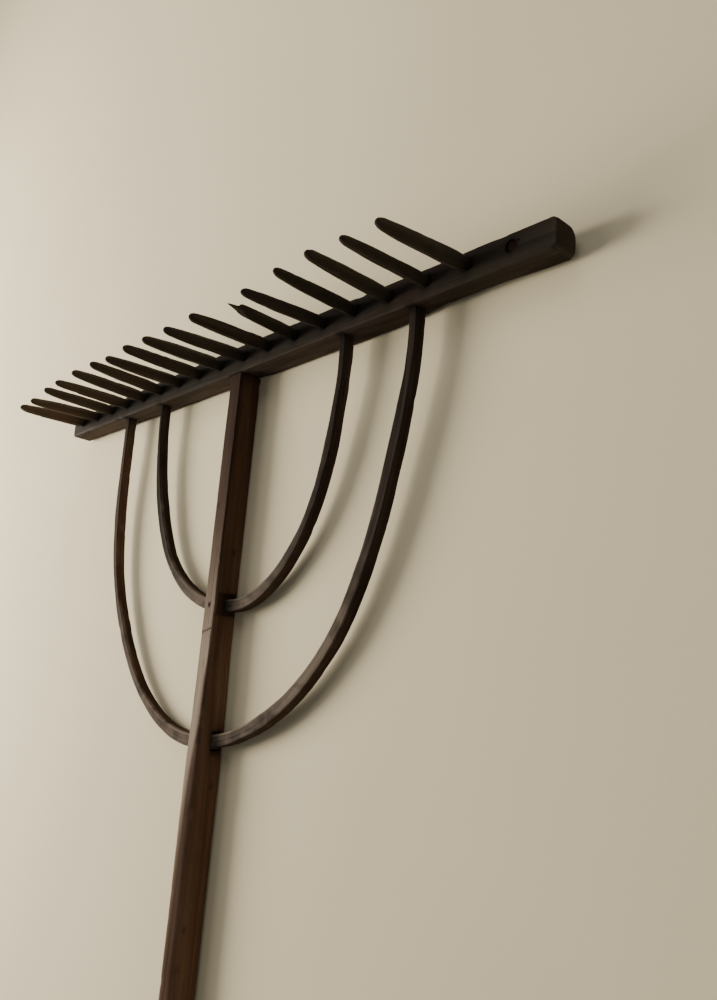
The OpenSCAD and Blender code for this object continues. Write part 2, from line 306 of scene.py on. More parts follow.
def put(piece, node, slot):
    """Gives a piece its material and the place of its solid."""
    piece.data.materials.append(MATERIALS[slot])
    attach(piece, "root")
    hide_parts(node)


def finish_wood(piece, along, grain, edge, grime_and_shade, pale_and_sheen, warm, node, slot):
    """Keeps what the wood's material needs at each point, and puts the piece in its place."""
    none = np.zeros(len(grain))
    note(piece, "along", none[:, None] + along)
    note(piece, "grain", grain)
    for name, values in (("edge", edge), ("grime_and_shade", grime_and_shade), ("pale_and_sheen", pale_and_sheen), ("warm", warm)):
        note(piece, name, np.clip(none + values, 0, 1))
    put(piece, node, slot)


# --- materials

class Tone:
    """A number, vector or colour on its way through a material. Sums on it add nodes."""

    def __init__(self, shop, socket):
        self.shop = shop
        self.socket = socket

    def _sum(self, how, a, b=0):
        return self.shop.add("ShaderNodeMath", {"operation": how}, {0: a, 1: b})

    def __add__(self, other): return self._sum("ADD", self, other)
    def __radd__(self, other): return self._sum("ADD", other, self)
    def __sub__(self, other): return self._sum("SUBTRACT", self, other)
    def __rsub__(self, other): return self._sum("SUBTRACT", other, self)
    def __mul__(self, other): return self._sum("MULTIPLY", self, other)
    def __rmul__(self, other): return self._sum("MULTIPLY", other, self)
    def __truediv__(self, other): return self._sum("DIVIDE", self, other)
    def __rtruediv__(self, other): return self._sum("DIVIDE", other, self)
    def __abs__(self): return self._sum("ABSOLUTE", self)
    def __mod__(self, other): return self._sum("FLOORED_MODULO", self, other)
    def least(self, other): return self._sum("MINIMUM", self, other)
    def most(self, other): return self._sum("MAXIMUM", self, other)

    def between(self, low, high):
        """0 at low, 1 at high, with soft ends."""
        return self.shop.add("ShaderNodeMapRange", {"interpolation_type": "SMOOTHSTEP"},
                             {"Value": self, "From Min": low, "From Max": high})


class Shop:
    """Where one material is made."""

    def __init__(self, name):
        self.material = bpy.data.materials.new(name)
        self.material.use_nodes = True
        self.tree = self.material.node_tree
        self.tree.nodes.clear()

    def add(self, kind, settings, inputs, out=0):
        node = self.tree.nodes.new(kind)
        for key, value in settings.items():
            setattr(node, key, value)
        for key, value in inputs.items():
            if isinstance(value, Tone):
                self.tree.links.new(value.socket, node.inputs[key])
            else:
                node.inputs[key].default_value = value
        return Tone(self, node.outputs[out]) if node.outputs else None

    def kept(self, name, out="Fac"):
        return self.add("ShaderNodeAttribute", {"attribute_name": name}, {}, out)

    def stretch(self, vector, sizes):
        return self.add("ShaderNodeVectorMath", {"operation": "MULTIPLY"},
                        {0: vector, 1: sizes})

    def far(self, vector, point):
        return self.add("ShaderNodeVectorMath", {"operation": "DISTANCE"},
                        {0: vector, 1: point}, "Value")

    def noise(self, vector, sizes, detail=3, rough=0.55):
        return self.add("ShaderNodeTexNoise", {}, {
            "Vector": self.stretch(vector, sizes), "Scale": 1, "Detail": detail,
            "Roughness": rough}, "Fac")

    def mix(self, share, a, b):
        return self.add("ShaderNodeMix", {"data_type": "RGBA"},
                        {0: share, 6: colour(a), 7: colour(b)}, 2)

    def done(self, inputs, height, depth, strength):
        inputs["Normal"] = self.add("ShaderNodeBump", {}, {
            "Height": height, "Distance": depth, "Strength": strength})
        skin_shader = self.add("ShaderNodeBsdfPrincipled", {}, inputs)
        self.add("ShaderNodeOutputMaterial", {}, {"Surface": skin_shader})
        return self.material


def colour(c):
    return c if isinstance(c, Tone) or len(c) == 4 else (*c, 1)


def wood(name, dark, plain, light, bleach_and_sheen, warm, ring, heart, shine, tint, checks,
         deepest=0.32):
    """Old bare wood: growth layers, ring mm apart, fibres, drying cracks, worn edges, grime with
    painted shade, and bleaching with painted sheen.
    """
    s = Shop(name)
    grain = s.kept("grain", "Vector")
    edge, grime_and_shade, pale_and_sheen = s.kept("edge"), s.kept("grime_and_shade"), s.kept("pale_and_sheen")
    ends = abs(s.add("ShaderNodeVectorMath", {"operation": "DOT_PRODUCT"},
                     {0: s.kept("along", "Vector"),
                      1: s.add("ShaderNodeNewGeometry", {}, {}, "Normal")},
                     "Value")).between(0.6, 0.85)

    fibre = s.noise(grain, (35, 1700, 1700), 4, 0.6)
    streak = s.noise(grain, (6, 260, 260), 4, 0.6)
    broad = s.noise(grain, (3.5, 60, 60), 3)
    patch = s.noise(grain, (14, 38, 38), 5, 0.6)
    speck = s.noise(grain, (420, 900, 900), 2)

    wobble = s.noise(grain, (5, 55, 55), 2)*0.006 + s.noise(grain, (22, 240, 240), 2)*0.0012
    reach = s.far(s.stretch(grain, (0, 1, 1)), (0, heart[0], heart[1])) + wobble
    layer = (reach/(ring*MM)) % 1
    late = layer.between(0.45, 0.9)*(1 - layer.between(0.93, 1))

    ridge = abs(s.noise(grain, (4.5, 210, 210), 2) - 0.5)
    where = s.noise(grain, (2.5, 45, 45), 2).between(checks - 0.06, checks + 0.05)
    crack = (1 - ridge.between(0.004, 0.016))*where*(1 - ends*0.7)
    rays = s.noise(grain, (900, 900, 900), 2).between(0.55, 0.72)*ends

    body = s.mix(streak.between(0.24, 0.76), dark, plain)
    body = s.mix(broad.between(0.42, 0.72)*0.75, body, light)
    body = s.mix(late*0.2*(1 - pale_and_sheen*0.5), body, dark)
    body = s.mix(patch.between(0.52, 0.68)*0.6, body, s.mix(0.6, plain, tint))
    body = s.mix((s.kept("warm")*(0.5 + 0.9*streak.between(0.3, 0.7))).least(0.95), body, warm)
    # the pale channel mixes in the bleached colour: real bleaching in places, painted sheen in
    # others
    pale_and_sheen_share = (pale_and_sheen*(0.7 + 0.35*streak.between(0.25, 0.75) + 0.2*fibre.between(0.35, 0.7))
             - late*0.12 - patch.between(0.6, 0.8)*0.25)
    body = s.mix(pale_and_sheen_share.most(0).least(1), body, bleach_and_sheen)
    rubbed = edge*(0.25 + 0.75*patch.between(0.38, 0.62))*0.38
    body = s.mix(rubbed, body, light)
    body = s.mix(ends*0.55, body, dark)
    body = s.mix(rays*0.35, body, light)
    deep = tuple(deepest*c for c in dark)
    # the grime channel darkens towards the deep colour: real grime in places, painted shade in
    # others
    body = s.mix((grime_and_shade*(0.6 + 0.5*streak)).least(0.92), body, deep)
    body = s.mix(fibre.between(0.56, 0.7)*0.26, body, dark)
    body = s.mix(speck.between(0.68, 0.76)*0.5, body, deep)
    body = s.mix(crack*0.85, body, deep)

    rough = (0.62 + 0.16*fibre + 0.1*grime_and_shade - 0.16*edge*patch.between(0.3, 0.7)
             + 0.1*pale_and_sheen + ends*0.12)
    height = (fibre*0.35 + streak*0.45 + late*0.16 - crack*1.1 - rays*0.5
              - speck.between(0.68, 0.76)*0.3)
    return s.done({"Base Color": body, "Roughness": rough.least(0.95),
                   "Specular IOR Level": shine}, height, 0.0007, 0.75)


def iron(name):
    s = Shop(name)
    place = s.add("ShaderNodeTexCoord", {}, {}, "Object")
    scale = s.noise(place, (900, 900, 900), 4)
    rust = s.noise(place, (350, 350, 350), 5, 0.65).between(0.42, 0.66)
    body = s.mix(rust, (0.004, 0.0032, 0.0026), (0.012, 0.007, 0.0045))
    body = s.mix(scale.between(0.62, 0.75)*0.6, body, (0.026, 0.015, 0.01))
    return s.done({"Base Color": body, "Metallic": 0.02*(1 - rust), "Specular IOR Level": 0.03,
                   "Roughness": 0.7 + 0.2*rust}, scale + rust*0.5, 0.0002, 0.6)


def plaster(name):
    s = Shop(name)
    place = s.add("ShaderNodeTexCoord", {}, {}, "Object")
    cloud = s.noise(place, (1.1, 1.1, 1.1), 4).between(0.3, 0.7)
    fleck = s.noise(place, (260, 260, 260), 3)
    body = s.mix(cloud, (0.735, 0.622, 0.4), (0.775, 0.656, 0.425))
    return s.done({"Base Color": body, "Roughness": 0.9, "Specular IOR Level": 0.2},
                  fleck, 0.0004, 0.25)


MATERIALS = {
    "head_wood": wood(
        "weathered_head_wood", (0.015, 0.0132, 0.0092), (0.031, 0.0268, 0.0185),
        (0.048, 0.039, 0.028), (0.14, 0.108, 0.08), (0.052, 0.028, 0.019), ring=1.9,
        heart=(0.06, -0.035), shine=0.02, tint=(0.036, 0.017, 0.016), checks=0.74),
    "tooth_wood": wood(
        "whittled_tooth_wood", (0.0105, 0.009, 0.0065), (0.022, 0.0172, 0.012),
        (0.05, 0.039, 0.027), (0.12, 0.09, 0.06), (0.1, 0.058, 0.038), ring=1.5,
        heart=(0.013, 0.008), shine=0.05, tint=(0.02, 0.02, 0.012), checks=0.7),
    "handle_wood": wood(
        "brown_handle_wood", (0.074, 0.037, 0.0195), (0.11, 0.056, 0.029),
        (0.165, 0.098, 0.056), (0.3, 0.235, 0.165), (0.2, 0.105, 0.052), ring=3.7,
        heart=(0.045, 0.075), shine=0.03, tint=(0.085, 0.034, 0.02), checks=0.66, deepest=0.27),
    "bow_wood": wood(
        "bent_bow_wood", (0.0145, 0.0105, 0.0075), (0.032, 0.022, 0.015),
        (0.07, 0.05, 0.036), (0.19, 0.142, 0.102), (0.085, 0.041, 0.021), ring=3.1,
        heart=(0.012, 0.085), shine=0.02, tint=(0.036, 0.02, 0.014), checks=0.72),
    "stub_wood": wood(
        "broken_stub_wood", (0.012, 0.006, 0.004), (0.027, 0.012, 0.0075),
        (0.045, 0.022, 0.013), (0.08, 0.05, 0.035), (0.06, 0.024, 0.014), ring=1.4,
        heart=(0.012, 0.006), shine=0.02, tint=(0.03, 0.013, 0.009), checks=0.6),
    "nail_iron": iron("rusted_nail_iron")}


# --- head

def tooth_x(i):
    return FIRST_TOOTH + i*TOOTH_PITCH


def tooth_frame(i):
    """A tooth's foot on the face of the head, and its two side directions and its own."""
    turn = (Matrix.Rotation(math.radians(LEAN_X[i]), 3, "Y")
            @ Matrix.Rotation(math.radians(-LEAN_Y[i]), 3, "X"))
    return np.array([tooth_x(i), TOOTH_ROW, HEAD_FRONT]), np.array(turn)


def bow_turn(bow):
    """The lean of a bow, from the head down to its slot in the handle."""
    tilt = math.asin((BOW_BACK - BACK_CHEEK)/(bow["drop"] - BOW_THICK/2))
    return np.array(Matrix.Rotation(tilt, 3, "X"))


def in_place(points, bow):
    """From a bow's own frame to the shared one."""
    return BOW_ORIGIN + points @ bow_turn(bow).T


def peg(foot, z0, z1, radius, sides=40, turn=np.eye(3)):
    """A plain round cutter."""
    points = np.concatenate([foot + circle(sides, radius, z) @ turn.T for z in (z0, z1)])
    faces = [[k, (k + 1) % sides, sides + (k + 1) % sides, sides + k] for k in range(sides)]
    faces += [list(range(sides))[::-1], list(range(sides, 2*sides))]
    return as_piece("cut", points, faces)


def block(low, high, bow=None):
    """A plain square cutter, in the frame of a bow where one is given."""
    points = np.array([(x, y, z) for z in (low[2], high[2]) for y in (low[1], high[1])
                       for x in (low[0], high[0])])
    faces = [[0, 2, 3, 1], [4, 5, 7, 6], [0, 1, 5, 4], [2, 6, 7, 3], [0, 4, 6, 2], [1, 3, 7, 5]]
    return as_piece("cut", in_place(points, bow) if bow else points, faces)


def soft_block(low, high, bow):
    """A cutter with rounded long corners, in the frame of a bow."""
    section, _, _ = soft_box(low[1], high[1], low[2], high[2], np.full((2, 4), 2.2*MM), 5, 2)
    return skin("cut", in_place(stations(np.array([low[0], high[0]]), section), bow))


def foot_places(bow):
    """From where to where each end of a bow stands in the head, in the bow's own frame."""
    out_left, in_left, out_right, in_right = (bow[side][0][1]*MM for side in
                                              ("out_left", "in_left", "out_right", "in_right"))
    return ((-bow["left"] - out_left, -bow["left"] + BOW_END_THICK - in_left),
            (bow["right"] - BOW_END_THICK + in_right, bow["right"] + out_right))


def head_rings():
    """The bar as worn sections along x, and how near each point is to a corner."""
    ends = np.array([0, 0.25, 0.6, 1.1, 1.8, 2.8, 4, 5.2])*MM
    middle = np.linspace(-HEAD_HALF + 7*MM, HEAD_HALF - 7*MM, HEAD_SECTIONS)
    x = np.concatenate([-HEAD_HALF + ends, middle, (HEAD_HALF - ends)[::-1]])
    from_end = HEAD_HALF - np.abs(x)
    inset = run(from_end/MM, (0, 1.1), (0.25, 0.6), (0.6, 0.3), (1.1, 0.1), (1.8, 0))*MM
    clip = np.maximum(0, END_BEVEL - from_end)
    high_y = TOP_Y - END_DROP*np.abs(x)/HEAD_HALF - clip*run(x, (-0.4, 1), (0.4, 0.65)) - inset
    deep = run(x, (-0.51, 2.5), (-0.25, 3.5), (0, 4), (0.25, 4.2), (0.29, 3), (0.33, 0.8),
               (0.36, -0.8), (0.42, -1.4), (0.46, -0.5), (0.505, 0))*MM
    turned_in = fall(from_end, 5.2*MM, 5.2*MM)
    front = HEAD_FRONT - inset - 0.3*MM - 2.6*MM*(1 - np.sqrt(1 - turned_in**2))
    radii = np.stack([2.4*MM + 0*x,
                      2.6*MM + 0.8*MM*bump_at(x, 0.36, 0.1),
                      3*MM + 3.2*MM*bump_at(x, 0.4, 0.07),
                      9*MM + 1*MM*bump_at(x, 0.47, 0.06)], 1)
    wear = uneven(x, (0.7, 0.035, 3), (0.4, 0.011, 4))
    radii = np.maximum(radii + wear[:, None]*[0.8, 1, 1, 1.2], 1.1*MM)
    radii += fall(from_end, 6*MM, 6*MM)[:, None]*[2.6*MM, 0.6*MM, 1*MM, 0.8*MM]
    section, out, edge = soft_box(UNDER_Y + clip + inset, high_y, HEAD_BACK + inset - deep, front,
                                  radii, 7, 9)
    points = stations(x, section)
    flat = points.reshape(-1, 3)
    push = uneven(flat, (0.38, (0.11, 0.03, 0.03), 11), (0.16, (0.03, 0.008, 0.008), 12),
                  (0.05, (0.02, 0.0022, 0.0022), 13))
    push -= worn_away(flat, edge, (0.018, 0.012, 0.012), 0.42, 2.3, 14) + 0.35*MM
    ease = np.clip(from_end/(6*MM), 0.15, 1)[:, None]
    points[..., 1:] += out*(push.reshape(edge.shape)*ease)[..., None]
    slant = run(x, (-0.5, 0.6), (-0.2, 1.2), (-0.04, 1.4), (-0.02, 0), (0.028, 0), (0.05, 1.4),
                (0.24, 2.2), (0.3, 1), (0.34, -0.3), (0.38, -0.8), (0.43, -1), (0.47, 0))*MM
    _, y, z = np.moveaxis(points, -1, 0)
    points[..., 1] -= slant[:, None]*fall(z, HEAD_FRONT, 28*MM)*fall(y, TOOTH_ROW, 12*MM)
    return points, edge.reshape(-1)


def head_wear(final):
    """Grime, bleaching with painted sheen, and warm colour of the head's wood at each point."""
    x, y, z = final.T
    grime_and_shade = np.zeros(len(final))
    for i in range(SOCKETS):
        foot, turn = tooth_frame(i)
        from_hole = np.hypot(*((final - foot) @ turn)[:, :2].T) - HOLE_R
        grime_and_shade += np.where(z > 20*MM, (0.35 if i == STUB else 0.75)*fade(from_hole, 2.6*MM),
                          0.6*fade(from_hole, 1.2*MM))
    joints = [(HANDLE_X, 13*MM)] + [(HANDLE_X + (a + b)/2, (b - a)/2)
                                    for bow in (OUTER, INNER) for a, b in foot_places(bow)]
    for middle, half in joints:
        grime_and_shade += 0.8*fade(np.abs(x - middle) - half, 3*MM)*fade(np.abs(y - UNDER_Y), 2.5*MM)
    grime_and_shade += (rise(z, 30*MM, 3*MM)*bump_at(y, TOOTH_ROW + 4*MM, 15*MM)
              * run(x, (-0.5, 0.25), (-0.3, 0.4), (0.1, 0.5), (0.44, 0.35), (0.5, 0.1)))
    under = fall(y, UNDER_Y + 3*MM, 3*MM)
    # the underside is paler towards the left end: bleaching and painted sheen
    pale_and_sheen = (under*run(x, (-0.5, 0.5), (-0.3, 0.55), (0.05, 0.42), (0.2, 0.27), (0.35, 0.1),
                      (0.5, 0.13))
            + 0.3*(1 - under)*run(x, (-0.505, 0.35), (-0.48, 0.25), (-0.35, 0.22), (-0.25, 0.4),
                                  (0.1, 0.4), (0.2, 0.2), (0.4, 0.25), (0.45, 0.45), (0.5, 0.5))
            + 0.5*rise(x, 0.499, 3*MM))
    warm = (0.75*under*run(x, (-0.5, 0.4), (-0.2, 0.55), (0.2, 0.7), (0.36, 0.2), (0.42, 0))
            + 0.35*bump_at(x, 0.315, 0.05)
            + run(x, (-0.505, 0.45), (-0.47, 0.2), (0.2, 0.16), (0.36, 0.1), (0.42, 0.22),
                  (0.5, 0.25)))
    return (grime_and_shade, pale_and_sheen*(0.62 + 0.3*ripple(final, (0.06, 0.02, 0.02), 15)),
            warm*(0.7 + 0.6*ripple(final, (0.05, 0.016, 0.016), 16)))


def make_head():
    """The drilled bar, with its mortise for the tenon and four sockets for the bows."""
    points, known_edge = head_rings()
    piece = skin("head", points)
    cutters = []
    for i in range(SOCKETS):
        foot, turn = tooth_frame(i)
        cutters.append(peg(foot, -60*MM, 40*MM, HOLE_R, turn=turn))
    cutters.append(block((TENON_X[0] - 0.1*MM, UNDER_Y - 5*MM, TENON_Z[0] - 0.1*MM),
                         (TENON_X[1] + 0.1*MM, TOP_Y + 5*MM, TENON_Z[1] + 0.1*MM)))
    for bow in (OUTER, INNER):
        for x0, x1 in foot_places(bow):
            cutters.append(block((x0 - SOCKET_GAP, -6*MM, -SOCKET_GAP),
                                 (x1 + SOCKET_GAP, 10.2*MM, BOW_DEEP + SOCKET_GAP), bow))
    carve(piece, cutters)
    final = corners_of(piece)
    edge = nearest(final, points.reshape(-1, 3), known_edge)
    finish_wood(piece, (1, 0, 0), final + [3.1, 0, 0], edge*0.8, *head_wear(final),
                "head_bar", "head_wood")


# --- teeth

def tooth_radius(z, length):
    """A tooth's girth from its hidden end to its blunt tip."""
    m, e = 7.7*MM, 5*MM
    return run(z, (TOOTH_BACK, 5.65*MM), (-28.5*MM, TOOTH_R), (1*MM, TOOTH_R), (12*MM, m - 0.3*MM),
               (26*MM, m), (0.5*length, m - 0.25*(m - e)), (0.74*length, m - 0.55*(m - e)),
               (length - 9*MM, e), (length - 5*MM, 0.88*e), (length - 2.1*MM, 0.66*e),
               (length - 0.6*MM, 0.4*e), (length, 0.12*e))


def make_tooth(i):
    """A whittled tooth: knife facets, a slight bend and twist, and a cut or torn end."""
    rng = np.random.default_rng(400 + i)
    length = TOOTH_REACH + LONGER[i]*MM
    z = np.concatenate([[TOOTH_BACK, -28.9*MM, -28.2*MM], np.linspace(-26*MM, -2*MM, 9),
                        np.linspace(0, length - 10*MM, 70), length - np.linspace(9.4, 0, 16)*MM])
    t = np.linspace(0, 2*math.pi, TOOTH_SIDES, endpoint=False)
    facets = int(rng.integers(6, 9))
    turns = np.sort((np.arange(facets) + rng.uniform(-0.25, 0.25, facets))/facets*2*math.pi)
    flatness = rng.uniform(0.86, 0.97, facets)
    twist = rng.uniform(-0.35, 0.35)
    chips = [(int(rng.integers(facets)), rng.uniform(8*MM, length - 12*MM),
              rng.uniform(12, 34)*MM, rng.uniform(0.03, 0.09)) for _ in range(11)]
    bend = rng.uniform(-1, 1, 2)*1.1*MM
    outside = rise(z, 0.5*MM, 7*MM)
    fuller = GIRTH[i]*run(z/length, (0.1, 0.95), (0.4, 0.96), (0.6, 1.02), (1, 1.03)) - 1
    girth = tooth_radius(z, length)*(1 + fuller*rise(z, 0.5*MM, 12*MM))
    rings = []
    for place, share, size in zip(z, outside, girth):
        deep = flatness.copy()
        for facet, start, long, deeper in chips:
            into = (place - start)/long
            if 0 < into < 1:
                deep[facet] -= deeper*min(into/0.12, 1)*(1 - into)
        facing = np.cos(t[:, None] - turns - twist*place/0.1)
        r = (((np.maximum(facing, 0)/deep)**26).sum(1) + 1)**(-1/26)/0.955
        rings.append(circle(TOOTH_SIDES, (1 + (r - 1)*share)*size, place)
                     + [*(bend*np.clip(place/length, 0, 1)**2), 0])
    points = np.array(rings)
    flat = points.reshape(-1, 3)
    push = uneven(flat + i, (0.22, (0.006, 0.006, 0.02), 31), (0.09, (0.0016, 0.0016, 0.012), 32))
    push = push.reshape(points.shape[:2])*outside[:, None]
    out = points[..., :2] - points[..., :2].mean(1, keepdims=True)
    out /= np.maximum(np.linalg.norm(out, axis=-1, keepdims=True), 1e-9)
    points[..., :2] += out*push[..., None]
    if i == SPLINTERED:
        splinter(flat, length)
    else:
        pointed(flat, length, rng)
    foot, turn = tooth_frame(i)
    piece = skin("tooth_stake_%02d" % (i + 1), foot + points @ turn.T, 50)
    final = (corners_of(piece) - foot) @ turn
    x, y, depth = final.T
    edge = rise(np.hypot(x, y)/np.maximum(tooth_radius(depth, length), 1e-4), 0.985, 1/14)
    edge = np.maximum(edge, 0.8*rise(depth, length - 14*MM, 14*MM))*(depth > 0)
    # painted shade at the foot of each tooth, darkest where it meets the head; the last term
    # darkens some teeth more than others
    grime_and_shade = (0.5*fade(depth, 8*MM) + 0.15*fade(depth, 35*MM)
             + run(tooth_x(i), (-0.2, 0), (0.05, 0.15), (0.2, 0.35), (0.32, 0.1)))
    pale_and_sheen = np.clip(0.12 + 0.2*depth/length, 0, 1)*run(
        tooth_x(i), (-0.5, 2), (-0.3, 1.3), (0, 0.9), (0.5, 0.6))
    if i == SPLINTERED:
        pale_and_sheen += 0.25*rise(depth, length - 30*MM, 20*MM)
    warm = (run(depth/length, (0, 0.1), (0.35, 1), (0.9, 0.7))
            * run(tooth_x(i), (-0.47, 1.25), (-0.25, 0.65), (-0.1, 0.35), (0.05, 0.1), (0.5, 0.06))
            * (0.75 + 0.5*ripple(final + i, (0.01, 0.01, 0.03), 33)))
    finish_wood(piece, turn[:, 2], final[:, [2, 0, 1]] + [i*0.37, i*0.019, i*0.031], edge, grime_and_shade,
                pale_and_sheen, warm, "tooth_%02d" % (i + 1), "tooth_wood")


def shave(flat, turn, limit):
    """Takes off what stands out past a limit on one side of a tooth."""
    d = np.array([math.cos(math.radians(turn)), math.sin(math.radians(turn))])
    flat[:, :2] -= np.maximum(0, flat[:, :2] @ d - limit)[:, None]*d


def pointed(flat, length, rng):
    """Knife cuts that draw a tooth in to its blunt tip."""
    for turn in rng.uniform(0, 360) + np.array([0, 95, 180, 270]) + rng.uniform(-25, 25, 4):
        shave(flat, turn, rng.uniform(2.9, 4)*MM + rng.uniform(0.3, 0.5)*(length - flat[:, 2]))


def splinter(flat, length):
    """Tears the wood away on both sides of a thin point."""
    left = (length - flat[:, 2])/MM
    ragged = 1.6*ripple(flat*[1, 1, 0], 0.0021, 41) + 0.8*ripple(flat*[1, 1, 0], 0.0009, 42)
    left = left + ragged*np.clip(left/8, 0.2, 1)
    for turn, *shape in ((90, (0, 0.2), (5, 0.9), (13, 1.3), (15, 2), (17.5, 5.8), (28, 8)),
                         (-90, (0, 0.3), (8, 1.2), (17, 2.2), (20, 3.8), (22, 4.8), (27, 5.6),
                          (29, 8)),
                         (0, (0, 0.5), (10, 2.2), (18, 3.8), (28, 6.2), (36, 8)),
                         (180, (0, 0.5), (9, 1.6), (21, 4.4), (33, 8))):
        shave(flat, turn, run(left, *shape)*MM)


def make_stub():
    """The broken tooth, torn off a little below the face."""
    foot, turn = tooth_frame(STUB)
    rings = [circle(TOOTH_SIDES, 0.93*TOOTH_R, TOOTH_BACK)]
    rings += [circle(TOOTH_SIDES, TOOTH_R, z)
              for z in (-29*MM, *np.linspace(-27*MM, -2.2*MM, 12))]
    rings += [circle(TOOTH_SIDES, share*TOOTH_R, -1.2*MM) for share in
              (0.985, 0.95, 0.9, 0.84, 0.77, 0.69, 0.61, 0.53, 0.45, 0.37, 0.29, 0.21, 0.13, 0.06)]
    points = np.array(rings)
    flat = points.reshape(-1, 3)
    torn = (uneven(flat*[1, 1, 0], (0.6, 0.0045, 51), (0.4, 0.0013, 52))
            + 0.05*flat[:, 0] - 0.04*flat[:, 1])
    flat[:, 2] += (np.minimum(torn, 0.8*MM) - 0.2*MM)*(flat[:, 2] > -2.1*MM)
    piece = skin("tooth_stub_torn", foot + points @ turn.T, 50)
    final = (corners_of(piece) - foot) @ turn
    side = np.hypot(final[:, 0], final[:, 1])
    finish_wood(piece, turn[:, 2], final[:, [2, 0, 1]] + [7, 0.4, 0.7], 0,
                0.8*rise(side, 4.5*MM, 2.2*MM), 0.1, 0.3, "tooth_stub", "stub_wood")


# --- handle

def front_at(down):
    """How high the front of the handle lies, a way down from the head."""
    return run(down, (0, 32), (0.372, 32), (0.5, 34))*MM


def handle_rings():
    """Sections from the tenon to the butt, and how near each point is to a corner."""
    body = UNDER_Y - BUTT_Y
    down = np.concatenate([np.linspace(0, body - 14*MM, HANDLE_SECTIONS),
                           body - np.array([12, 10, 8, 6.2, 4.6, 3.2, 2, 1.1, 0.45, 0])*MM])
    inset = run((body - down)/MM, (0, 5), (1, 3.4), (2.5, 2.2), (5, 1.1), (8, 0.45), (12, 0))*MM
    left = run(down, (0, -8.25), (0.372, -8.25), (0.46, -8.9), (0.6, -10), (0.8, -10.5))*MM
    right = run(down, (0, 16.25), (0.36, 16.25), (0.42, 19.4), (0.52, 22), (0.75, 23.5))*MM
    front_right = run(down, (0, 1.7), (0.3, 2), (0.372, 3.6), (0.41, 6), (0.46, 9), (0.54, 12),
                      (0.6, 13.5), (0.8, 13.5), (1.1, 10.5))*MM
    front_left = run(down, (0, 1.7), (0.3, 2), (0.372, 2.6), (0.46, 5), (0.6, 8.5), (0.8, 10))*MM
    rear = run(down, (0, 1.7), (0.372, 2), (0.43, 3.5), (0.6, 6), (0.8, 7))*MM
    front_right, front_left, rear = (
        np.maximum(r + uneven(down, (0.45, 0.03, 61 + k), (0.25, 0.009, 64 + k)), 1.2*MM)
        for k, r in enumerate((front_right, front_left, rear)))
    radii = np.minimum(np.stack([front_right, front_left, rear, rear], 1),
                       ((right - left)/2 - inset - 0.5*MM)[:, None])
    section, out, edge = soft_box(left + inset, right - inset, inset, front_at(down) - inset,
                                  radii, 8, 8)
    points = stations(UNDER_Y - down, section)[..., [1, 0, 2]]
    flat = points.reshape(-1, 3)
    push = uneven(flat, (0.45, (0.03, 0.16, 0.03), 71), (0.2, (0.012, 0.045, 0.012), 72),
                  (0.06, (0.0024, 0.03, 0.0024), 73))
    push -= worn_away(flat, edge, (0.012, 0.016, 0.012), 0.45, 1.8, 74) + 0.3*MM
    x, y, z = flat.T
    for place, depth, width in DENTS:
        push -= (depth*MM*bump_at(y, UNDER_Y - place*MM, width*MM)
                 * bump_at(x, 0.016, 0.006)*bump_at(z, 0.033, 0.006))
    ease = np.clip((body - down)/(12*MM), 0, 1)[:, None]
    points[..., ::2] += out*(push.reshape(edge.shape)*ease)[..., None]
    points[..., 2] = np.maximum(points[..., 2], 0.02*MM)
    draw_in = np.array([0.5, 0.15, 0, 0, 0, 0, 0, 0])*MM
    tenon, _, _ = soft_box(TENON_X[0] + draw_in, TENON_X[1] - draw_in, TENON_Z[0] + draw_in,
                           TENON_Z[1] - draw_in, np.full((8, 4), 0.6*MM), 8, 8)
    tenon = stations(TENON_END - np.array([0, 0.3, 0.8, 8, 16, 24, 32, 37.4])*MM, tenon)
    return (np.concatenate([tenon[..., [1, 0, 2]], points]),
            np.concatenate([0*tenon[..., 0], edge]).reshape(-1))


